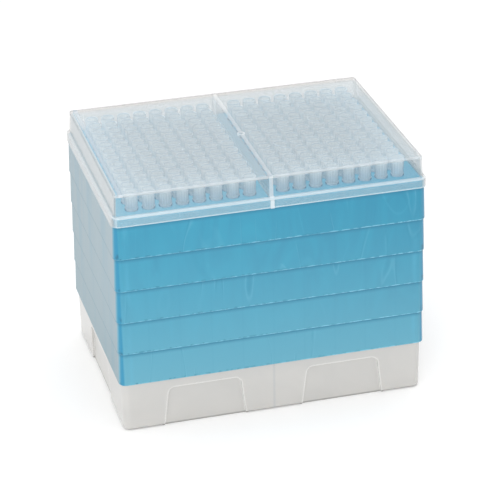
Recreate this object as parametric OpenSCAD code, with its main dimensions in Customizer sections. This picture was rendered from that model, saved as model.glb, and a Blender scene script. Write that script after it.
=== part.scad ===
// Stack of pipette tips: five nested trays of 192 tips on an open base, under a clear lid.
// Millimetres. Z is up, X runs along the long side, and the origin is at the middle of the
// base's underside.

/* [Tip grid] */
// Distance between neighbouring tips, both ways
tip_pitch = 9; // [8.6:0.1:11]
// Distance between the two columns beside the middle
middle_gap = 18; // [15:0.5:24]
// Least distance from a tip's axis to the tray's lower edge
edge_space = 10.5; // [9.5:0.5:16]

/* [Tip] */
// Length of a tip
tip_l = 51; // [42:0.5:62]
// Height of a tip's mouth above its deck
tip_rise = 10.4; // [8.5:0.1:12.5]
// Outer diameter of the collar at the mouth
collar_d = 7.1; // [6.7:0.1:7.6]
// Outer diameter of the collar where it meets the seat ring
collar_foot_d = 6.3; // [6.1:0.1:6.6]
// Outer diameter of the ring that rests on the deck
seat_d = 7.2; // [7:0.1:7.8]
// Height of the seat ring
seat_h = 1; // [0.6:0.1:1.6]
// Outer diameter of the neck that passes through the deck
neck_d = 6; // [5.6:0.1:6.2]
// Length of the neck below the seat ring
neck_l = 2; // [1.6:0.1:3]
// Outer diameter of the body below the neck
body_d = 5.4; // [5:0.1:5.5]
// Outer diameter at the fine end
end_d = 0.9; // [0.8:0.05:1.2]
// Inner diameter at the fine end
orifice_d = 0.45; // [0.3:0.05:0.6]
// Wall of the body
tip_wall = 0.45; // [0.35:0.05:0.55]
// Inner diameter at the mouth
mouth_d = 5.9; // [5.7:0.1:6]
// Width and depth of the bevel inside the mouth
mouth_bevel = 0.3; // [0.1:0.05:0.4]

/* [Tray] */
// Outer length of a tray at its lower edge
tray_w = 169.6; // [130:0.2:210]
// Outer depth of a tray at its lower edge
tray_d = 122.6; // [95:0.2:150]
// Corner radius at deck level
tray_r = 3.4; // [3:0.1:5.4]
// Wall of the skirt
tray_wall = 0.45; // [0.35:0.05:0.6]
// Thickness of the deck
deck_t = 1; // [0.8:0.1:1.4]
// Radius of the edge between the deck and the skirt
deck_edge_r = 1; // [0.5:0.1:1.2]
// Free height between one layer's tips and the deck above
layer_gap = 7.1; // [5:0.1:10]
// How far a skirt laps over the tray below
lap = 4.3; // [3:0.1:6]
// Gap between a skirt and the tray below
nest_clear = 0.1; // [0.05:0.05:0.3]
// Gap round a tip's neck in its hole
hole_clear = 0.2; // [0.1:0.05:0.3]
// Thickness of the web under the middle of the deck
web_t = 0.8; // [0.6:0.1:1.4]
// Thickness of the stacking ribs inside the skirt
rib_t = 0.7; // [0.5:0.1:1.2]
// Distance between neighbouring stacking ribs
rib_pitch = 17; // [14:1:30]
// How far a rib's foot reaches past the base's rim
rib_over = 0.5; // [0.2:0.1:1]

/* [Lid] */
// Room between the top layer's mouths and the roof
headroom = 1.4; // [0.8:0.1:3]
// Thickness of the roof and the upper walls
lid_wall = 1; // [0.8:0.05:1.3]
// Thickness of the lid's skirt
lid_skirt_t = 0.75; // [0.6:0.05:1]
// How far the lid's skirt laps over the top tray
lid_lap = 4.2; // [3:0.1:6]
// Gap between the lid's skirt and the tray
lid_clear = 0.1; // [0.05:0.05:0.3]
// Width of the lid's seat on the flat of the deck
lid_seat_w = 0.7; // [0.5:0.05:1]
// Thickness of the shoulder at the skirt
shoulder_t = 0.95; // [0.8:0.05:1.4]
// How much higher the shoulder is where it meets the wall
shoulder_rise = 0.5; // [0.3:0.05:1]
// Lean of the upper walls, in degrees
lid_draft = 3.7; // [1:0.1:5]
// Radius of the roof's edge
roof_edge_r = 1.2; // [0.6:0.1:1.6]
// Thickness of the partition at the roof
partition_t = 2.1; // [1.4:0.1:2.6]
// Thickness of the partition at its foot
partition_foot_t = 1.7; // [1.2:0.1:2.2]
// Gap between the partition's foot and the deck
partition_gap = 0.3; // [0.1:0.05:0.6]
// How far the strip at each end of the partition stands out from the skirt
strip_out = 0.35; // [0.2:0.05:0.6]
// Diameter of the moulding gate's well in the roof
gate_d = 3.4; // [2:0.1:6]
// Depth of the gate's well
gate_depth = 0.35; // [0.2:0.05:0.5]
// Diameter of the nub left in the well
gate_nub_d = 1.1; // [0.6:0.1:1.5]

/* [Base] */
// Wall of the base
base_wall = 1.2; // [0.9:0.1:1.6]
// Thickness of the floor
floor_t = 1.2; // [0.9:0.1:2]
// Room between the lowest tips and the floor
floor_room = 9.5; // [5:0.5:16]
// Gap between the base's rim and the skirt round it
base_play = 0.65; // [0.3:0.05:0.9]
// Lean of the base's walls, in degrees
base_draft = 0.65; // [0.3:0.05:1.5]
// Radius of the edge round the underside
foot_edge_r = 2; // [1.5:0.1:2.4]
// Thickness of the web across the middle
base_web_t = 1; // [0.8:0.1:1.6]
// Depth of the recesses in the walls
recess_depth = 1.4; // [0.8:0.1:2]
// Width of the foot between the two front recesses, half of it
recess_middle = 15.8; // [10:0.2:20]
// Width of the foot at each end of the front
recess_end = 22.2; // [12:0.2:28]
// Width of the foot at each end of a short side
side_recess_end = 34.5; // [20:0.5:38]
// Height of the band above the recesses
recess_band = 5.5; // [4:0.5:9]
// Lean of the recesses' sides, in degrees
recess_lean = 7; // [3:0.5:12]
// Radius of the recesses' upper corners
recess_r = 3.8; // [2:0.2:6]

/* [Hidden] */
$fn = 32;

// A swept rim reaches in to this distance from its corners' axes, and a flat plate fills the rest
rim_stop = 0.2;
// How far a plate reaches into the swept rim, so that both are one solid
plate_overlap = 0.6;

// Stack: tray 1 is the top one
layers = 5;
layer_pitch = tip_rise + layer_gap + deck_t;
tray_h = layer_pitch + lap;
lowest_deck_z = floor_t + floor_room + tip_l - tip_rise;
base_h = lowest_deck_z - layer_pitch;
base_show_h = lowest_deck_z - tray_h;
function deck_z(layer) = lowest_deck_z + (layers - layer) * layer_pitch;

// Outlines are kept to whole hundredths, so that swept walls and their corners meet exactly
function hundredth(v) = round(100 * v) / 100;

// Skirt: each tray's outer wall runs inside the next one's inner wall with nest_clear to spare
skirt_slope = (tray_wall + nest_clear) / layer_pitch;
skirt_flare = hundredth(skirt_slope * (tray_h - deck_edge_r));
deck_half_x = tray_w / 2 - skirt_flare;
deck_half_y = tray_d / 2 - skirt_flare;
function skirt_out(depth) = skirt_slope * (depth - deck_edge_r);

// Tip grid
hole_d = neck_d + 2 * hole_clear;
columns = floor((tray_w / 2 - edge_space - middle_gap / 2) / tip_pitch) + 1;
half_rows = floor((tray_d / 2 - edge_space) / tip_pitch + 0.5);

// Base: its rim stands inside the lowest skirt, and its walls lean in towards the foot
rim_out = skirt_out(layer_pitch) - tray_wall - base_play;
base_slope = tan(base_draft);
foot_in = hundredth(base_slope * (base_h - foot_edge_r) - rim_out);
base_half_x = deck_half_x - foot_in;
base_half_y = deck_half_y - foot_in;
base_r = tray_r + 0.4;
rib_w = base_play + base_wall + rib_over;

// Lid, measured from the top tray's deck
roof_z = tip_rise + headroom + lid_wall;
lid_slope = tan(lid_draft);
lid_foot_in = deck_edge_r + lid_seat_w;
wall_foot_z = shoulder_t + shoulder_rise;

// Corner rounding for sections: a corner is [x, y, radius], listed anticlockwise
function xy(c) = [c[0], c[1]];
function unit(v) = v / norm(v);
function before(c, i) = unit(xy(c[(i + len(c) - 1) % len(c)]) - xy(c[i]));
function after(c, i) = unit(xy(c[(i + 1) % len(c)]) - xy(c[i]));
function convex(c, i) = cross(before(c, i), after(c, i)) < 0;
function half_angle(c, i) = acos(before(c, i) * after(c, i)) / 2;

// The sliver between a sharp corner and the arc that rounds it
module spandrel(c, i) {
    a = before(c, i);
    b = after(c, i);
    r = c[i][2];
    h = half_angle(c, i);
    t = r / tan(h);
    centre = xy(c[i]) + unit(a + b) * r / sin(h);
    difference() {
        polygon([xy(c[i]), xy(c[i]) + a * t, centre, xy(c[i]) + b * t]);
        translate(centre) circle(r);
    }
}

module rounded_polygon(c) {
    difference() {
        union() {
            polygon([for (q = c) xy(q)]);
            for (i = [0:len(c) - 1]) if (c[i][2] > 0 && !convex(c, i)) spandrel(c, i);
        }
        for (i = [0:len(c) - 1]) if (c[i][2] > 0 && convex(c, i)) spandrel(c, i);
    }
}

// Sweeps a section round a rounded rectangle. The section's X points out from it, its Y is up.
module swept(half_x, half_y, r) {
    for (turn = [0, 180]) rotate([0, 0, turn])
        translate([r - half_x, half_y, 0]) rotate([90, 0, 90]) linear_extrude(2 * (half_x - r)) children();
    for (turn = [90, 270]) rotate([0, 0, turn])
        translate([r - half_y, half_x, 0]) rotate([90, 0, 90]) linear_extrude(2 * (half_y - r)) children();
    for (i = [0:3]) {
        x = (i == 0 || i == 3) ? 1 : -1;
        y = i < 2 ? 1 : -1;
        translate([x * (half_x - r), y * (half_y - r), 0]) rotate([0, 0, 90 * i])
            rotate_extrude(angle = 90) translate([r, 0]) children();
    }
}

// A flat plate that fills a swept rim of corner radius r
module plate(half_x, half_y, r, z, t) {
    reach = 2 * (plate_overlap - r);
    translate([0, 0, z]) linear_extrude(t) square([2 * half_x + reach, 2 * half_y + reach], center = true);
}

// An upright plate across the middle, drawn as [y, z] points
module cross_plate(points, t) {
    translate([-t / 2, 0, 0]) rotate([90, 0, 90]) linear_extrude(t) polygon(points);
}

// The same outline mirrored front to back
function both_sides(points) = concat(points,
    [for (i = [len(points) - 1:-1:0]) [-points[i][0], points[i][1]]]);

// --- Tips ---

// A thin conical tip: collar, seat ring, neck and body. Z is 0 where the ring rests on the deck.
module tip() {
    end_z = tip_rise - tip_l;
    body_z = -neck_l - (neck_d - body_d) / 2;
    rotate_extrude() polygon([
        [mouth_d / 2 + mouth_bevel, tip_rise],
        [mouth_d / 2, tip_rise - mouth_bevel],
        [body_d / 2 - tip_wall, body_z],
        [orifice_d / 2, end_z],
        [end_d / 2, end_z],
        [body_d / 2, body_z],
        [neck_d / 2, -neck_l],
        [neck_d / 2, 0],
        [seat_d / 2, 0],
        [seat_d / 2, seat_h],
        [collar_foot_d / 2, seat_h],
        [collar_d / 2, tip_rise]]);
}

// Places children at every hole of one half of a deck. side is -1 for the left, 1 for the right.
module tip_places(side) {
    for (c = [0:columns - 1], row = [-half_rows:half_rows - 1])
        translate([side * (middle_gap / 2 + c * tip_pitch), (row + 0.5) * tip_pitch]) children();
}

module tips(side, layer) {
    color("whitesmoke") translate([0, 0, deck_z(layer)]) tip_places(side) tip();
}

// --- Trays ---

// Deck rim, rounded edge and leaning skirt with a rounded lower edge. Y is 0 on top of the deck.
module tray_section() {
    low = skirt_out(tray_h);
    lip = tray_wall / 2;
    inner_top = skirt_out(deck_t) - tray_wall;
    rounded_polygon([
        [rim_stop - tray_r, -deck_t, 0],
        [inner_top, -deck_t, 0],
        [low - tray_wall, -tray_h, lip * 0.9],
        [low, -tray_h, lip * 0.9],
        [0, -deck_edge_r, 0],
        [0, 0, deck_edge_r],
        [rim_stop - tray_r, 0, 0]]);
}

// Half of the web's outline, from the deck down to the deck below, ending inside the skirt's wall
function web_edge() = [
    [deck_half_y + skirt_out(layer_pitch) - tray_wall / 2, -layer_pitch],
    [deck_half_y + skirt_out(deck_t) - tray_wall / 2, -deck_t],
    [deck_half_y - tray_r, -deck_t / 2]];

// One stacking rib, along +Y from the middle: its foot stands on the deck or the rim below
module rib(half) {
    foot = half + skirt_out(layer_pitch) - tray_wall;
    translate([-rib_t / 2, 0, 0]) rotate([90, 0, 90]) linear_extrude(rib_t) polygon([
        [foot - rib_w, -layer_pitch],
        [foot + tray_wall / 2, -layer_pitch],
        [half + skirt_out(deck_t) - tray_wall / 2, -deck_t],
        [half - tray_r / 2, -deck_t / 2],
        [foot - rib_w, -deck_t / 2]]);
}

// Ribs along one wall of the given half length, on both sides of the middle
module ribs(half_run, half) {
    n = floor((half_run - tray_r - rib_t) / rib_pitch);
    for (i = [1:n], s = [-1, 1]) translate([s * i * rib_pitch, 0, 0]) rib(half);
}

module tray(layer) {
    color("steelblue") translate([0, 0, deck_z(layer)]) {
        swept(deck_half_x, deck_half_y, tray_r) tray_section();
        difference() {
            plate(deck_half_x, deck_half_y, tray_r, -deck_t, deck_t);
            for (side = [-1, 1]) tip_places(side)
                translate([0, 0, -2 * deck_t]) cylinder(d = hole_d, h = 3 * deck_t);
        }
        cross_plate(both_sides(web_edge()), web_t);
        for (turn = [0, 180]) rotate([0, 0, turn]) ribs(deck_half_x, deck_half_y);
        for (turn = [90, 270]) rotate([0, 0, turn]) ribs(deck_half_y, deck_half_x);
    }
}

// --- Lid ---

// Roof rim, leaning wall, shoulder that rests on the deck's edge, and skirt
module lid_section() {
    low_in = skirt_out(lid_lap) + lid_clear;
    top_in = skirt_out(deck_edge_r) + lid_clear;
    wall_top = -lid_foot_in - lid_slope * (roof_z - wall_foot_z);
    rounded_polygon([
        [rim_stop - tray_r, roof_z, 0],
        [rim_stop - tray_r, roof_z - lid_wall, 0],
        [wall_top + lid_slope * lid_wall, roof_z - lid_wall, 0.2],
        [-lid_foot_in, wall_foot_z, 0],
        [-lid_foot_in, 0, 0],
        [top_in, 0, 0],
        [low_in, -lid_lap, 0.2],
        [low_in + lid_skirt_t, -lid_lap, 0.3],
        [top_in + lid_skirt_t, shoulder_t, 0.4],
        [lid_wall - lid_foot_in, wall_foot_z, 0.3],
        [wall_top + lid_wall, roof_z, roof_edge_r]]);
}

// Half of the partition's outline, from the roof to just above the deck
function partition_edge() = [
    [deck_half_y - lid_foot_in + lid_wall / 4, partition_gap],
    [deck_half_y - lid_foot_in + lid_wall / 4, wall_foot_z],
    [deck_half_y - lid_foot_in + lid_wall / 4 - lid_slope * (roof_z - wall_foot_z - lid_wall / 2),
     roof_z - lid_wall / 2]];

// Strip that carries the partition's line down over the shoulder and the skirt
module lid_strip() {
    low = deck_half_y + skirt_out(lid_lap) + lid_clear + lid_skirt_t;
    top = deck_half_y + skirt_out(deck_edge_r) + lid_clear + lid_skirt_t;
    wall = deck_half_y + lid_wall - lid_foot_in;
    cross_plate([
        [top - lid_skirt_t / 2, shoulder_t / 2],
        [low - lid_skirt_t / 2, -lid_lap],
        [low + strip_out, -lid_lap],
        [top + strip_out, shoulder_t],
        [wall + strip_out, wall_foot_z + strip_out],
        [wall - lid_slope * shoulder_t, wall_foot_z + shoulder_t + strip_out],
        [wall - lid_wall / 2, wall_foot_z]], partition_t);
}

module lid() {
    color("aliceblue") translate([0, 0, deck_z(1)]) {
        difference() {
            union() {
                swept(deck_half_x, deck_half_y, tray_r) lid_section();
                plate(deck_half_x, deck_half_y, tray_r, roof_z - lid_wall, lid_wall);
                intersection() {
                    cross_plate(both_sides(partition_edge()), 2 * partition_t);
                    translate([0, tray_d / 2, 0]) rotate([90, 0, 0]) linear_extrude(tray_d) polygon([
                        [-partition_foot_t / 2, 0],
                        [partition_foot_t / 2, 0],
                        [partition_t / 2, roof_z],
                        [-partition_t / 2, roof_z]]);
                }
                for (turn = [0, 180]) rotate([0, 0, turn]) lid_strip();
            }
            translate([0, 0, roof_z - gate_depth]) difference() {
                cylinder(d = gate_d, h = lid_wall);
                translate([0, 0, -lid_wall]) cylinder(d = gate_nub_d, h = 3 * lid_wall);
            }
        }
    }
}

// --- Base ---

// Floor rim, rounded foot edge and wall. Y is 0 on the underside.
module base_section() {
    lean = base_slope * (base_h - foot_edge_r);
    rounded_polygon([
        [rim_stop - base_r, 0, 0],
        [0, 0, foot_edge_r],
        [0, foot_edge_r, 0],
        [lean, base_h, 0.3],
        [lean - base_wall, base_h, 0.3],
        [-base_wall, foot_edge_r, 0],
        [-base_wall, floor_t, 0.4],
        [rim_stop - base_r, floor_t, 0]]);
}

// A recess's outline: sides that lean in, and round upper corners. grow widens it all round.
module recess_outline(width, height, grow) {
    h = height + grow;
    r = recess_r + grow;
    half = width / 2 + grow / cos(recess_lean);
    centre_x = half - (r + (h - r) * sin(recess_lean)) / cos(recess_lean);
    side_x = centre_x + r * cos(recess_lean);
    side_y = h - r + r * sin(recess_lean);
    polygon([[-half, 0], [half, 0], [side_x, side_y], [centre_x, h], [-centre_x, h], [-side_x, side_y]]);
    for (x = [-centre_x, centre_x]) translate([x, h - r]) circle(r);
}

// Something drawn on the outside of a wall, cut or filled from one depth to another
module on_wall(half, x, from, to) {
    translate([x, half - from, 0]) rotate([90, 0, 0]) linear_extrude(to - from) children();
}

// Calls on_wall for the two long walls' pairs and the two short walls
module recesses(from, to, grow) {
    height = base_show_h - recess_band;
    width = base_half_x - recess_middle - recess_end;
    side_width = 2 * (base_half_y - side_recess_end);
    for (turn = [0, 180], x = [-1, 1]) rotate([0, 0, turn])
        on_wall(base_half_y, x * (recess_middle + width / 2), from, to)
            recess_outline(width, height, grow);
    for (turn = [90, 270]) rotate([0, 0, turn])
        on_wall(base_half_x, 0, from, to)
            recess_outline(side_width, height, grow);
}

module base() {
    end = base_half_y - 0.75 * base_wall;
    color("gainsboro") difference() {
        union() {
            swept(base_half_x, base_half_y, base_r) base_section();
            plate(base_half_x, base_half_y, base_r, 0, floor_t);
            intersection() {
                recesses(base_wall / 2, recess_depth + base_wall, base_wall);
                linear_extrude(base_h) square([2 * base_half_x, 2 * base_half_y], center = true);
            }
            cross_plate(both_sides([
                [end, floor_t / 2],
                [end + base_slope * (base_h - floor_t), base_h]]), base_web_t);
        }
        translate([0, 0, -floor_t]) linear_extrude(floor_t) square(3 * tray_w, center = true);
        recesses(-recess_depth, recess_depth, 0);
    }
}

base();
tray(1);  // tray_1
tray(2);  // tray_2
tray(3);  // tray_3
tray(4);  // tray_4
tray(5);  // tray_5
tips(-1, 1);  // tips_left_1
tips(-1, 2);  // tips_left_2
tips(-1, 3);  // tips_left_3
tips(-1, 4);  // tips_left_4
tips(-1, 5);  // tips_left_5
tips(1, 1);  // tips_right_1
tips(1, 2);  // tips_right_2
tips(1, 3);  // tips_right_3
tips(1, 4);  // tips_right_4
tips(1, 5);  // tips_right_5
lid();
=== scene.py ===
import math

import bmesh
import bpy
import numpy as np
from mathutils import Matrix, Vector


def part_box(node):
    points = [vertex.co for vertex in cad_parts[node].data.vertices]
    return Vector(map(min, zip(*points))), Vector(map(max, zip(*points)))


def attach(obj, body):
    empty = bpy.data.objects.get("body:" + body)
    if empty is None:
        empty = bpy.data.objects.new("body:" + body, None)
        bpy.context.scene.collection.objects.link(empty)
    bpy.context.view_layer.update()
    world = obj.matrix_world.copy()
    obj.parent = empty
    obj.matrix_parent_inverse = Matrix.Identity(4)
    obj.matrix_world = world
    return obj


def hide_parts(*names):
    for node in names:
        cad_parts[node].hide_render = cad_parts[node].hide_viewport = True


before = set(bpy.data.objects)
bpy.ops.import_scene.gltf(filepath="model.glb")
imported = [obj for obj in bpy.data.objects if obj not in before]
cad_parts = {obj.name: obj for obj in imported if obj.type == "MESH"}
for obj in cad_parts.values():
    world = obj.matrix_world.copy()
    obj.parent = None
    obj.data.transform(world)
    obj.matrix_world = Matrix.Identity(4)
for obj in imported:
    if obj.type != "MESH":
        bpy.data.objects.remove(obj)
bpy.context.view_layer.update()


# ---------------------------------------------------------------------------------------------
# Bench, light and camera.
# A sweep of white painted board under soft boxes. Where no shadow falls it reads as pure white,
# and shiny plastic reflects that same white.

mm = 0.001
multiply, larger = {"operation": "MULTIPLY"}, {"operation": "MAXIMUM"}


def linear(code):
    """An sRGB hex colour as linear RGBA."""
    parts = [int(code[i:i + 2], 16) / 255 for i in (1, 3, 5)]
    return [c / 12.92 if c <= 0.04045 else ((c + 0.055) / 1.055) ** 2.4 for c in parts] + [1]


def add(tree, kind, settings=None, *values, **named):
    """Adds a node with its settings. Values fill its inputs in order, or by name with _ for a space.
    A value is a number, a colour, a socket, or a node, which stands for its first output."""
    n = tree.nodes.new("ShaderNode" + kind)
    for name, value in (settings or {}).items():
        setattr(n, name, value)
    for key, value in [*enumerate(values), *((k.replace("_", " "), v) for k, v in named.items())]:
        if isinstance(value, bpy.types.Node):
            value = value.outputs[0]
        if isinstance(value, bpy.types.NodeSocket):
            tree.links.new(value, n.inputs[key])
        else:
            n.inputs[key].default_value = value
    return n


def new_tree(owner):
    """The empty node tree of a material or world."""
    owner.use_nodes = True
    owner.node_tree.nodes.clear()
    return owner.node_tree


def rays_that_see(tree):
    """1 for rays that go to the camera straight, in a reflection or through glass, 0 for light."""
    path = add(tree, "LightPath").outputs
    bent = add(tree, "Math", larger, path["Is Glossy Ray"], path["Is Transmission Ray"])
    return add(tree, "Math", larger, path["Is Camera Ray"], bent)


# Matt emulsion: the roller leaves a faint texture, about 1.1 mm across, and no sheen
painted_board = bpy.data.materials.new("matt_painted_board")
t = new_tree(painted_board)
roller = add(t, "TexNoise", Scale=1 / (1.1 * mm), Detail=2.0)
bump = add(t, "Bump", Height=roller, Strength=0.05, Distance=0.2 * mm)
board = add(t, "BsdfPrincipled", Base_Color=linear("#FAFAFA"), Roughness=0.9, Normal=bump)
lift = add(t, "Math", multiply, rays_that_see(t), 0.13)
glow = add(t, "Emission", Color=linear("#FFFFFF"), Strength=lift)
add(t, "OutputMaterial", Surface=add(t, "AddShader", None, board, glow))

bm = bmesh.new()
bmesh.ops.create_grid(bm, x_segments=2, y_segments=2, size=3.0)
bench_mesh = bpy.data.meshes.new("bench")
bm.to_mesh(bench_mesh)
bm.free()
bench = bpy.data.objects.new("bench", bench_mesh)
bench.data.materials.append(painted_board)
bpy.context.scene.collection.objects.link(bench)

# The world is plain white to the eye, and lights the object at half that level
studio = bpy.data.worlds.new("studio")
bpy.context.scene.world = studio
t = new_tree(studio)
level = add(t, "MapRange", None, rays_that_see(t), To_Min=0.5, To_Max=1.0)
sky = add(t, "Background", Color=linear("#FFFFFF"), Strength=level)
add(t, "OutputWorld", Surface=sky)


def soft_box(name, at, size, watts):
    """A square soft box aimed at the middle of the stack."""
    lamp = bpy.data.lights.new(name, "AREA")
    lamp.size = size
    lamp.energy = watts
    o = bpy.data.objects.new(name, lamp)
    o.location = at
    aim = Vector((0, 0, 0.07)) - Vector(at)
    o.rotation_euler = aim.to_track_quat("-Z", "Y").to_euler()
    bpy.context.scene.collection.objects.link(o)


soft_box("top_box", (0.1, 0.1, 1.4), 1.2, 11)
soft_box("front_box", (-0.5, -1.4, 0.8), 0.9, 8)
soft_box("left_box", (-1.4, 0.1, 0.6), 0.9, 2.8)

# The camera stands to the left of the front, a little above the lid, with a long lens
turn, rise, roll = math.radians(-14.66), math.radians(25.993), math.radians(-1.183)
reach, looks_at = 1.2244, Vector((0, 0, 0.075))
back = Vector((math.sin(turn) * math.cos(rise), -math.cos(turn) * math.cos(rise), math.sin(rise)))
right = (-back).cross(Vector((0, 0, 1))).normalized()
up = right.cross(-back)
lens_right = right * math.cos(roll) + up * math.sin(roll)
lens_up = up * math.cos(roll) - right * math.sin(roll)
camera = bpy.data.cameras.new("camera")
camera.sensor_width = 36
camera.lens = 159.912
camera.shift_x, camera.shift_y = 0.0136, -0.0233
camera.clip_start, camera.clip_end = 0.05, 20
eye = bpy.data.objects.new("camera", camera)
facing_back = Matrix((lens_right, lens_up, back)).transposed().to_4x4()
eye.matrix_world = Matrix.Translation(looks_at + back * reach) @ facing_back
bpy.context.scene.collection.objects.link(eye)
bpy.context.scene.camera = eye
bpy.context.scene.view_settings.view_transform = "Standard"


# ---------------------------------------------------------------------------------------------
# Base.
# One hollow injection moulding in natural polypropylene, 1.2 mm thick. The resin is milky, so
# flat walls look pale grey, and the rims of the recesses gather light and look whiter.

# A band that is given this as a limit, in metres, has no edge on that side
no_end = 1.0


def use(node, material):
    """Gives a CAD node its material."""
    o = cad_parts[node]
    o.data.materials.clear()
    o.data.materials.append(material)


def band(tree, value, low, high, soft):
    """1 between low and high, 0 outside. Each edge fades from soft before it to soft beyond it."""
    smooth = {"interpolation_type": "SMOOTHSTEP"}
    begun = add(tree, "MapRange", smooth, value, low - soft, low + soft)
    not_over = add(tree, "MapRange", smooth, value, high - soft, high + soft, 1.0, 0.0)
    return add(tree, "Math", multiply, begun, not_over)


def painted(tree, colour, *layers):
    """The colour under layers of others, each an sRGB code, a mask for where it goes, and a strength."""
    for code, mask, strength in layers:
        amount = add(tree, "Math", multiply, mask, strength)
        colour = add(tree, "MixRGB", {"use_clamp": True}, amount, colour, linear(code))
    return colour


# Moulded polypropylene without dye: milky below a satin skin, so its highlights are broad and dull
natural_pp = bpy.data.materials.new("natural_polypropylene_moulded")
t = new_tree(natural_pp)
place = add(t, "TexCoord").outputs["Object"]
x, y, z = add(t, "SeparateXYZ", None, place).outputs
# Cloudy patches of the melt, about 22 mm across
cloud = add(t, "TexNoise", Vector=place, Scale=1 / (22 * mm), Detail=3.0, Distortion=0.8)
# The web across the middle shows through the wall as a faint grey line
web = band(t, x, -0.6 * mm, 0.6 * mm, 0.5 * mm)
# On a rim, the normal of a rounded edge leaves that of the flat wall
rim_normal = add(t, "Bevel", {"samples": 4}, Radius=1.5 * mm)
true_normal = add(t, "NewGeometry").outputs["Normal"]
flat = add(t, "VectorMath", {"operation": "DOT_PRODUCT"}, rim_normal, true_normal)
rim = add(t, "MapRange", None, flat.outputs["Value"], 0.985, 0.88, 0.0, 1.0)
# Along its foot the base is painted darker: a painted contact shadow where it meets the bench
foot = band(t, z, -no_end, 0.8 * mm, 0.3 * mm)
milk = painted(t, linear("#CFCECB"), ("#D9D7D3", cloud, 1.0), ("#A9B2BA", web, 0.25),
               ("#FBFAF7", rim, 1.0), ("#7F7D79", foot, 0.7))
# The tool's fine texture is under 0.1 mm, and drawn 0.6 mm across so that it shows
skin = add(t, "TexNoise", Vector=place, Scale=1 / (0.6 * mm), Detail=2.0)
bump = add(t, "Bump", Height=skin, Strength=0.12, Distance=0.05 * mm)
body = add(t, "BsdfPrincipled", Base_Color=milk, Roughness=0.42, IOR=1.49, Subsurface_Weight=0.35,
           Subsurface_Radius=(1.0, 0.95, 0.9), Subsurface_Scale=3 * mm, Coat_Weight=0.6,
           Coat_Roughness=0.2, Normal=bump)
add(t, "OutputMaterial", Surface=body)
use("base", natural_pp)


# ---------------------------------------------------------------------------------------------
# Trays.
# Five alike injection mouldings in translucent blue polypropylene, with a skirt under half a
# millimetre thick. Each skirt laps over the next tray, and small ribs inside carry it there.

lowest_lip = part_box("tray_5")[0][2]
tray_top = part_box("tray_1")[1][2]
tray_step = (tray_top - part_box("tray_5")[1][2]) / 4
side_x, side_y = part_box("tray_1")[1][0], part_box("tray_1")[1][1]
rib_step, rib_width, lip_height = 17.0 * mm, 0.9 * mm, 0.6 * mm
# How far along each pattern the next tray's stretch of it lies, so that no two trays match
pattern_shift = 0.37
subtract, power = {"operation": "SUBTRACT"}, {"operation": "POWER"}


def rays_that_light(tree):
    """1 for rays that carry light from lamps or between surfaces, 0 for those that see."""
    path = add(tree, "LightPath").outputs
    return add(tree, "Math", larger, path["Is Shadow Ray"], path["Is Diffuse Ray"])


# Moulded polypropylene with blue dye: flow marks and creases in the wall, under a satin gloss
blue_pp = bpy.data.materials.new("blue_polypropylene_moulded")
t = new_tree(blue_pp)
place = add(t, "TexCoord").outputs["Object"]
x, y, z = add(t, "SeparateXYZ", None, place).outputs
size_x, size_y = (add(t, "Math", {"operation": "ABSOLUTE"}, v) for v in (x, y))
# Height above the lip of the tray that a point is on, and that tray's number from below
over_lowest = add(t, "Math", subtract, z, lowest_lip - tray_step)
over_lip = add(t, "Math", {"operation": "FLOORED_MODULO"}, over_lowest, tray_step)
layer = add(t, "Math", {"operation": "DIVIDE"}, over_lowest, tray_step)
layer = add(t, "Math", {"operation": "FLOOR"}, layer)
shift = add(t, "CombineXYZ", None, 0.0, add(t, "Math", multiply, layer, pattern_shift), 0.0)
on_tray = add(t, "VectorMath", {"operation": "ADD"}, place, shift)
# The melt ran up and out from the middle of each wall, and left long soft streaks 24 mm apart
drawn_up = add(t, "Mapping", None, on_tray, Scale=(1.0, 1.0, 0.4))
flow = add(t, "TexNoise", Vector=drawn_up, Scale=1 / (23.8 * mm), Detail=3.0, Roughness=0.5,
           Distortion=2.2)
streaks = add(t, "MapRange", None, flow, 0.3, 0.7)
# Towards the left the wall is painted a little paler, a painted light falling from that side
painted_left_light = add(t, "MapRange", None, x, side_x, -side_x, 0.0, 1.0)
# Fine wrinkles where two flows met, some 45 mm apart, fade in and out
meeting = add(t, "TexNoise", Vector=drawn_up, Scale=1 / (45.5 * mm), Detail=0.0, Distortion=1.2)
wrinkle = band(t, add(t, "Math", subtract, meeting, 0.5), -0.004, 0.004, 0.012)
patches = add(t, "TexNoise", Vector=on_tray, Scale=1 / (33.3 * mm))
wrinkle = add(t, "Math", multiply, wrinkle, add(t, "MapRange", None, patches, 0.42, 0.62))
# Creases, some 29 mm apart and drawn out upwards, get a painted shade on one side and a painted highlight on
# the other
leaning = add(t, "Mapping", None, on_tray, Location=(0.3, 0, 0), Rotation=(0, 0.2, 0),
              Scale=(1.0, 1.0, 0.28))
crease = add(t, "TexNoise", Vector=leaning, Scale=1 / (29.4 * mm), Detail=1.0, Distortion=0.9)
crease = add(t, "Math", subtract, crease, 0.5)
patches = add(t, "TexNoise", Vector=on_tray, Scale=1 / (26.3 * mm))
creased = add(t, "MapRange", None, patches, 0.42, 0.56, 0.0, 0.75)
crease_painted_shade = add(t, "Math", multiply, band(t, crease, -0.004, 0.006, 0.008), creased)
crease_painted_highlight = add(t, "Math", multiply, band(t, crease, 0.014, 0.022, 0.008), creased)
# The lower trays pass light on from the white base and the bench, so they look paler
lower = add(t, "MapRange", None, z, tray_top, lowest_lip, 0.0, 1.0)
lower = add(t, "Math", power, lower, 1.5)
lower = add(t, "Math", multiply, lower, add(t, "MapRange", None, painted_left_light, 0.0, 1.0, 0.88, 1.0))
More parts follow.
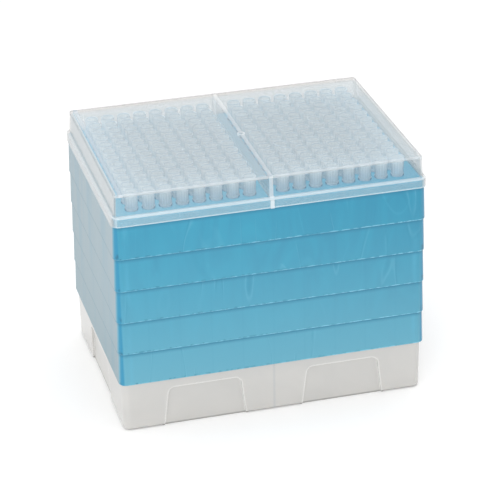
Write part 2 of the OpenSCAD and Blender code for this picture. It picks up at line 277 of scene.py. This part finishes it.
# Stacking ribs show through the wall as faint upright lines
half_step = add(t, "Math", {"operation": "ADD"}, x, rib_step / 2)
to_rib = add(t, "Math", {"operation": "FLOORED_MODULO"}, half_step, rib_step)
from_rib = add(t, "Math", subtract, to_rib, rib_step / 2)
rib = band(t, from_rib, -rib_width / 2, rib_width / 2, 0.4 * mm)
wall = painted(t, linear("#008AAE"), ("#0A96B8", streaks, 1.0), ("#48B9D8", painted_left_light, 0.24),
               ("#4FBAD8", wrinkle, 0.2), ("#60AEC6", lower, 1.0), ("#0E86A8", crease_painted_shade, 0.5),
               ("#7CCBE2", crease_painted_highlight, 0.3), ("#1F7FA8", rib, 0.05))
# The upward faces of the decks are painted paler than the walls, a painted light
upward = add(t, "SeparateXYZ", None, add(t, "NewGeometry").outputs["Normal"]).outputs["Z"]
deck = add(t, "MapRange", None, upward, 0.3, 0.9)
painted_lit_deck = painted(t, linear("#63B3D0"), ("#88C9E0", painted_left_light, 1.0))
tone = add(t, "MixRGB", None, add(t, "Math", multiply, deck, 0.75), wall, painted_lit_deck)
# Corners are thicker, and so deeper in colour
corner_x = band(t, size_x, side_x - 2.5 * mm, no_end, 0.5 * mm)
corner_y = band(t, size_y, side_y - 2.2 * mm, no_end, 0.6 * mm)
corner = add(t, "Math", multiply, corner_x, corner_y)
# Beside each corner the melt slowed, and left a paler streak
beside = band(t, size_x, side_x - 7.4 * mm, side_x - 5.4 * mm, 1.4 * mm)
beside = add(t, "Math", multiply, beside, corner_y)
beside = add(t, "Math", multiply, beside, add(t, "MapRange", None, flow, 0.4, 0.6))
# The lip at the foot of each skirt is thin and rounded, and carries a painted highlight in ragged stretches
# of 4 mm, stronger towards the right
ragged = add(t, "TexNoise", Vector=place, Scale=1 / (3.85 * mm), Detail=2.0)
lip_top = add(t, "Math", {"operation": "MULTIPLY_ADD"}, ragged, lip_height, lip_height * 0.4)
lip = add(t, "Math", {"operation": "LESS_THAN"}, over_lip, lip_top)
glow = add(t, "MapRange", None, x, -side_x, side_x, 0.4, 0.85)
glow = add(t, "Math", multiply, glow, add(t, "MapRange", None, ragged, 0.42, 0.58, 0.15, 1.0))
glow = add(t, "Math", multiply, glow, lip)
# Just under the next tray's lip the wall is painted darker, a painted shadow of the lip
painted_shadow_under_lip = add(t, "MapRange", None, over_lip, tray_step - 2.6 * mm, tray_step - 0.2 * mm)
painted_shadow_under_lip = add(t, "Math", power, painted_shadow_under_lip, 1.6)
# Burrs from trimming, about 2.4 mm long, leave dark nicks over the lip, most of them on the left
nicks = add(t, "TexNoise", Vector=place, Scale=1 / (2.38 * mm), Detail=1.0)
burr = add(t, "MapRange", None, nicks, 0.5, 0.62)
burr = add(t, "Math", multiply, burr, band(t, over_lip, 0.3 * mm, 1.0 * mm, 0.3 * mm))
burr = add(t, "Math", multiply, burr, add(t, "MapRange", None, painted_left_light, 0.0, 1.0, 0.1, 0.6))
# At the foot of each corner, just above the lip, the wall is darker in patches
dark_corner_patch = add(t, "Math", multiply, corner, band(t, over_lip, 0.0, 3.5 * mm, 1.0 * mm))
dark_corner_patch = add(t, "Math", multiply, dark_corner_patch, add(t, "MapRange", None, ragged, 0.45, 0.6))
tone = painted(t, tone, ("#008DB6", corner, 0.9), ("#5CBBDA", beside, 0.25), ("#86D4EC", glow, 1.0),
               ("#007C9F", painted_shadow_under_lip, 0.95), ("#007496", burr, 1.0), ("#005F7A", dark_corner_patch, 0.7))
# Waves in the skin, about 8 mm long, break up the highlights
skin = add(t, "TexNoise", Vector=drawn_up, Scale=1 / (7.7 * mm), Detail=3.0, Distortion=0.8)
bump = add(t, "Bump", Height=skin, Strength=0.25, Distance=0.3 * mm)
body = add(t, "BsdfPrincipled", Base_Color=tone, Roughness=0.3, IOR=1.49, Coat_Weight=0.5,
           Coat_Roughness=0.15, Normal=bump)
# Fine handling marks, in upright stripes 11 mm apart, make a satin bloom that shows at a slant
upright = add(t, "Mapping", None, place, Scale=(1.0, 1.0, 0.08))
stripes = add(t, "TexNoise", Vector=upright, Scale=1 / (11.1 * mm), Detail=1.0)
stripes = add(t, "MapRange", None, stripes, 0.45, 0.65)
# The bloom is painted darker on the lower trays and at the lip, a painted shade
bloom_tone = painted(t, linear("#B8BCBC"), ("#A1B3BD", stripes, 0.5), ("#8E9DA5", lower, 0.45),
                     ("#6F8C9B", lip, 0.75))
satin = add(t, "BsdfDiffuse", Color=bloom_tone, Normal=bump)
slant = add(t, "Math", power, add(t, "LayerWeight", None, 0.5).outputs["Facing"], 2.5)
slant = add(t, "Math", multiply, slant, add(t, "MapRange", None, deck, 0.0, 1.0, 1.0, 0.0))
slant = add(t, "Math", multiply, slant, add(t, "MapRange", None, corner, 0.0, 1.0, 1.0, 0.1))
bloom = add(t, "MixShader", None, slant, body, satin)
# Some light goes on through the plastic, turns blue, and fills the bores of the tips
passing = add(t, "BsdfTransparent", Color=linear("#A9DCEC"))
light = add(t, "Math", multiply, rays_that_light(t), 0.6)
add(t, "OutputMaterial", Surface=add(t, "MixShader", None, light, bloom, passing))
for i in range(1, 6):
    use("tray_%d" % i, blue_pp)


# ---------------------------------------------------------------------------------------------
# Tips.
# 960 thin cones in clear polypropylene, 192 to a tray. The collar above the deck has fine ribs
# outside, which catch the light as pale streaks, and a seat ring rests on the deck.

tip_step, middle_step = 9.0 * mm, 18.0 * mm
columns, rows = 8, 12
seat_high, mouth_low = 1.1 * mm, 9.9 * mm
rib_count, rib_depth = 15, 0.13
# Radius and height of each ring in mm, and whether the ribs stand out there. The rings start inside
# the mouth and go over its rim and down. Below the rim, so thin and clear a wall is one skin.
profile = [(2.92, 9.2, 0), (2.96, 10.0, 0), (3.1, 10.3, 0), (3.3, 10.4, 0), (3.52, 10.2, 0),
           (3.54, 9.5, 0), (3.46, 9.1, 1), (3.18, 1.6, 1), (3.15, 1.1, 0), (3.55, 1.05, 0),
           (3.6, 0.95, 0), (3.6, 0.1, 0), (3.6, 0.0, 0), (3.0, 0.0, 0), (3.0, -2.0, 0),
           (2.7, -2.3, 0), (0.45, -40.6, 0)]
# Of the four corners that a ring has for each rib, the middle two are on its crest
steps = 4 * rib_count
on_crest = np.isin(np.arange(steps) % 4, (1, 2))


def tip_rings(turned):
    """The corners of one tip, ring by ring, with its ribs turned by an angle."""
    angle = 2 * np.pi * np.arange(steps) / steps + turned
    relief = np.where(on_crest, 0.5, -0.2) * rib_depth
    radii = np.array([r + ribbed * relief for r, height, ribbed in profile]) * mm
    heights = np.array([np.full(steps, height) for r, height, ribbed in profile]) * mm
    return np.stack([radii * np.cos(angle), radii * np.sin(angle), heights], axis=2).reshape(-1, 3)


def tip_field(name, side):
    """The 96 tips of one half of the top layer as one mesh, with a mask of the ribs' crests."""
    i, k = np.meshgrid(np.arange(len(profile) - 1), np.arange(steps), indexing="ij")
    j, m = i + 1, (k + 1) % steps
    quads = np.stack([i * steps + k, j * steps + k, j * steps + m, i * steps + m], axis=2).reshape(-1, 4)
    spin = np.random.default_rng(7 + side)
    corners, faces = [], []
    for column in range(columns):
        for row in range(rows):
            foot = (side * (middle_step / 2 + column * tip_step), (row + (1 - rows) / 2) * tip_step, tray_top)
            faces.append(quads + len(corners) * len(profile) * steps)
            corners.append(tip_rings(spin.uniform(0, 2 * math.pi)) + foot)
    mesh = bpy.data.meshes.new(name)
    mesh.from_pydata(np.concatenate(corners).tolist(), [], np.concatenate(faces).tolist())
    crests = np.concatenate([on_crest * float(ribbed) for r, height, ribbed in profile])
    mesh.attributes.new("crest", "FLOAT", "POINT").data.foreach_set("value", np.tile(crests, len(corners)))
    mesh.shade_smooth()
    o = bpy.data.objects.new(name, mesh)
    bpy.context.scene.collection.objects.link(o)
    return o


# Thin moulded polypropylene: milky enough to look white where walls stack up, clear face on
clear_pp = bpy.data.materials.new("clear_polypropylene_moulded")
t = new_tree(clear_pp)
place = add(t, "TexCoord").outputs["Object"]
over_deck = add(t, "Math", subtract, add(t, "SeparateXYZ", None, place).outputs["Z"], tray_top)
facing = add(t, "LayerWeight", None, 0.5).outputs["Facing"]
up_or_down = add(t, "SeparateXYZ", None, add(t, "NewGeometry").outputs["True Normal"]).outputs["Z"]
up_or_down = add(t, "Math", {"operation": "ABSOLUTE"}, up_or_down)
upright = add(t, "MapRange", None, up_or_down, 0.2, 0.5, 1.0, 0.0)
# Faint clouds in the wall, about 3 mm across, and the ribs' pale crests
cloud = add(t, "TexNoise", Vector=place, Scale=1 / (2.86 * mm), Detail=2.0)
crest = add(t, "Attribute", {"attribute_name": "crest"}).outputs["Fac"]
# Deep between the tips, below the deck and along each tip's outline, the light is blue from the tray
deep = add(t, "MapRange", None, over_deck, 9.0 * mm, 4.0 * mm, 0.0, 1.0)
below = add(t, "Math", {"operation": "LESS_THAN"}, over_deck, 0.0)
outline = add(t, "MapRange", None, facing, 0.6, 0.9)
outline = add(t, "Math", multiply, outline, add(t, "MapRange", None, below, 0.0, 1.0, 1.0, 0.0))
outline = add(t, "Math", multiply, outline, upright)
# The seat ring bends light, and shows the tray's blue at its sides as dark spots
foot = band(t, over_deck, -0.5 * mm, seat_high, 0.1 * mm)
spots = add(t, "Math", multiply, foot, add(t, "MapRange", None, facing, 0.35, 0.5))
spots = add(t, "Math", multiply, spots, upright)
# The mouth's bevel is in shade, and its flat rim is bright
mouth = band(t, over_deck, mouth_low, no_end, 0.1 * mm)
rim = add(t, "Math", multiply, mouth, add(t, "MapRange", None, up_or_down, 0.4, 0.8))
pale = painted(t, linear("#EAF4FA"), ("#F8FCFE", cloud, 1.0), ("#FFFFFF", crest, 0.5),
               ("#A6D3EB", deep, 0.5), ("#86CBEF", below, 1.0), ("#6FA6C8", outline, 0.75),
               ("#B4D6E8", foot, 0.4), ("#3A80AA", spots, 0.9), ("#7FB2D0", mouth, 0.5),
               ("#F4FAFD", rim, 0.8))
solid = add(t, "BsdfPrincipled", Base_Color=pale, Roughness=0.4, IOR=1.49)
through = add(t, "BsdfTranslucent", Color=pale)
milky = add(t, "MixShader", None, 0.35, solid, through)
glassy = add(t, "BsdfPrincipled", Base_Color=linear("#F8FCFE"), Roughness=0.08, IOR=1.49,
             Transmission_Weight=1.0)
clear = add(t, "BsdfTransparent", Color=linear("#FAFDFE"))
window = add(t, "MixShader", None, 0.12, clear, glassy)
# How milky the wall looks: more at a slant, near the deck, on the ribs and at the seat ring
veil = add(t, "MapRange", None, facing, 0.0, 1.0, 0.68, 0.9)
near_deck = add(t, "MapRange", None, over_deck, 0.0, 6.0 * mm, 0.2, 0.0)
veil = add(t, "Math", {"operation": "ADD"}, veil, near_deck)
veil = add(t, "Math", {"operation": "MULTIPLY_ADD"}, crest, 0.1, veil)
veil = add(t, "Math", {"operation": "MULTIPLY_ADD", "use_clamp": True}, foot, 0.3, veil)
veil = add(t, "Math", larger, veil, spots)
veil = add(t, "Math", larger, veil, add(t, "Math", multiply, below, 0.9))
wall = add(t, "MixShader", None, veil, window, milky)
# Light goes straight on through so thin a wall
add(t, "OutputMaterial", Surface=add(t, "MixShader", None, rays_that_light(t), wall, clear))
for name, side in (("left", -1), ("right", 1)):
    field = tip_field("top_tips_" + name, side)
    field.data.materials.append(clear_pp)
    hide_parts("tips_%s_1" % name)
    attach(field, "rack")
    for i in range(2, 6):
        use("tips_%s_%d" % (name, i), clear_pp)


# ---------------------------------------------------------------------------------------------
# Lid.
# One injection moulding in clear polystyrene with a slight haze. It stands on the top tray's
# edge on a shoulder. Edges and ribs gather light, so they look white, and flat walls look clear.

skirt_low, roof_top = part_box("lid")[0][2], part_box("lid")[1][2]
roof_t, partition_t = 1.0 * mm, 2.1 * mm
shoulder_low, shoulder_high = tray_top + 0.4 * mm, tray_top + 1.3 * mm
gate_inside, gate_outside = 1.5 * mm, 2.0 * mm
# From the middle to the back or front: the far wall, the corners, and the roof's edge
far_y, lid_corner_y, roof_y = 55.0 * mm, 57.0 * mm, 58.2 * mm
# From the middle to an end: the end wall, the roof's rim, and the corners
end_x, rim_x, lid_corner_x = 80.4 * mm, 81.35 * mm, 82.2 * mm
# Over the left end: the milky stretch of roof, and the line where the tray's lip shows
milky_x, rim_line_x = (-80.6 * mm, -78.2 * mm), (-81.2 * mm, -80.9 * mm)

# Moulded polystyrene from a polished tool: glossy, with a haze that grows at a slant
clear_ps = bpy.data.materials.new("clear_polystyrene_moulded")
t = new_tree(clear_ps)
place = add(t, "TexCoord").outputs["Object"]
x, y, z = add(t, "SeparateXYZ", None, place).outputs
size_x, size_y = (add(t, "Math", {"operation": "ABSOLUTE"}, v) for v in (x, y))
facing = add(t, "LayerWeight", None, 0.5).outputs["Facing"]
normal = add(t, "SeparateXYZ", None, add(t, "NewGeometry").outputs["Normal"]).outputs
in_roof = band(t, z, roof_top - roof_t - 0.1 * mm, no_end, 0.1 * mm)
under_roof = band(t, z, -no_end, roof_top - roof_t, 0.1 * mm)
not_corner = band(t, size_y, -no_end, lid_corner_y, 0.3 * mm)
# The lines that gather light: edges, the partition with its strip down the front, and the gate mark
roof_edge = add(t, "Math", multiply, in_roof, band(t, y, -no_end, -roof_y + 0.3 * mm, 0.2 * mm))
shoulder = band(t, z, shoulder_low, shoulder_high, 0.1 * mm)
foot_line = band(t, z, -no_end, skirt_low + 0.5 * mm, 0.1 * mm)
partition = band(t, size_x, -no_end, partition_t / 2, 0.1 * mm)
strip = add(t, "Math", multiply, partition, band(t, y, -no_end, -roof_y - 0.6 * mm, 0.3 * mm))
corner = band(t, size_x, lid_corner_x, no_end, 0.3 * mm)
corner = add(t, "Math", multiply, corner, band(t, y, -no_end, -lid_corner_y, 0.3 * mm))
in_plan = add(t, "CombineXYZ", None, x, y)
from_gate = add(t, "VectorMath", {"operation": "LENGTH"}, in_plan).outputs["Value"]
gate = add(t, "Math", multiply, band(t, from_gate, gate_inside, gate_outside, 0.1 * mm), in_roof)
edges = 0.0
for part, strength in ((roof_edge, 0.28), (shoulder, 0.55), (foot_line, 0.4), (partition, 0.32),
                       (strip, 0.55), (corner, 0.25), (gate, 0.8)):
    part = add(t, "Math", multiply, part, strength)
    edges = add(t, "Math", larger, edges, part)
# The end walls, with the roof's rim over them, look milky, and lines show less on them
sideways = add(t, "Math", {"operation": "ABSOLUTE"}, normal["X"])
sideways = add(t, "Math", larger, add(t, "MapRange", None, sideways, 0.5, 0.8), not_corner)
ends = add(t, "Math", multiply, band(t, size_x, end_x, no_end, 0.3 * mm), under_roof)
ends = add(t, "Math", multiply, ends, sideways)
roof_rim = add(t, "Math", multiply, in_roof, band(t, size_x, rim_x, no_end, 0.1 * mm))
roof_rim = add(t, "Math", multiply, roof_rim, not_corner)
ends = add(t, "Math", larger, ends, add(t, "Math", multiply, roof_rim, 0.9))
# The right end is painted lighter and warmer, a painted light on a wall that the lamps leave dim
right_end = add(t, "Math", multiply, ends, band(t, x, 0.0, no_end, 0.1 * mm))
# Upward ledges on the ends are painted a little lighter, a painted light from above
end_ledge = add(t, "Math", multiply, ends, add(t, "MapRange", None, normal["Z"], 0.3, 0.8))
edges = add(t, "Math", multiply, edges, add(t, "MapRange", None, ends, 0.0, 1.0, 1.0, 0.25))
# The roof over the left end is milky, and bends the view on to the tray's blue lip along its rim
milky = add(t, "Math", multiply, band(t, x, *milky_x, 0.6 * mm), in_roof)
rim_line = add(t, "Math", multiply, band(t, x, *rim_line_x, 0.1 * mm), in_roof)
rim_line = add(t, "Math", multiply, rim_line, not_corner)
skirt = band(t, z, -no_end, tray_top, 0.1 * mm)
far_wall = band(t, y, far_y, no_end, 0.5 * mm)
# Faint clouds in the haze, about 17 mm across
cloud = add(t, "TexNoise", Vector=place, Scale=1 / (16.7 * mm), Detail=2.0)
tint = painted(t, linear("#DDE4E9"), ("#E9EFF2", cloud, 1.0), ("#CDE9F3", skirt, 1.0),
               ("#BCC3C6", ends, 1.0), ("#E6E4E2", right_end, 1.0), ("#C6CDD0", end_ledge, 1.0),
               ("#DBDAD9", far_wall, 1.0), ("#CED8E0", milky, 1.0), ("#8FC0DB", rim_line, 1.0),
               ("#FFFFFF", edges, 1.0))
gloss = add(t, "BsdfPrincipled", Base_Color=tint, Roughness=0.12, IOR=1.59)
# The haze grows with the square of the slant, and is a little stronger towards the left
haze = add(t, "Math", power, facing, 2.0)
haze = add(t, "Math", {"operation": "MULTIPLY_ADD"}, haze, 0.4, 0.1)
leftwards = add(t, "MapRange", None, x, -side_x, side_x, 0.02, -0.03)
haze = add(t, "Math", {"operation": "ADD"}, haze, leftwards)
haze = add(t, "Math", {"operation": "MULTIPLY_ADD"}, skirt, 0.155, haze)
# Under the roof the partition's own faces are clear
inside_web = band(t, size_x, -no_end, partition_t / 2 + 0.15 * mm, 0.1 * mm)
inside_web = add(t, "Math", multiply, inside_web, under_roof)
inside_web = add(t, "Math", multiply, inside_web, band(t, size_y, -no_end, lid_corner_y, 0.1 * mm))
haze = add(t, "Math", multiply, haze, add(t, "MapRange", None, inside_web, 0.0, 1.0, 1.0, 0.2))
turned = add(t, "MapRange", None, facing, 0.2, 0.55, 0.0, 0.85)
turned = add(t, "Math", multiply, turned, add(t, "MapRange", None, x, -end_x, end_x, 1.0, 0.45))
for part, strength in ((ends, turned), (milky, 0.45), (rim_line, 0.5)):
    part = add(t, "Math", multiply, part, strength)
    haze = add(t, "Math", larger, haze, part)
haze = add(t, "Math", {"operation": "MULTIPLY_ADD"}, far_wall, 0.14, haze)
veil = add(t, "Math", {"operation": "MULTIPLY_ADD", "use_clamp": True}, edges, 0.7, haze)
# Four fifths of the light that the haze would stop goes on through
light = rays_that_light(t)
veil = add(t, "Math", multiply, veil, add(t, "MapRange", None, light, 0.0, 1.0, 1.0, 0.2))
less_blue = add(t, "Math", larger, far_wall, right_end)
glass = painted(t, linear("#F6F9FA"), ("#F9F8F7", less_blue, 1.0), ("#FAFCFD", light, 1.0))
clear = add(t, "BsdfTransparent", Color=glass)
add(t, "OutputMaterial", Surface=add(t, "MixShader", None, veil, clear, gloss))
use("lid", clear_ps)
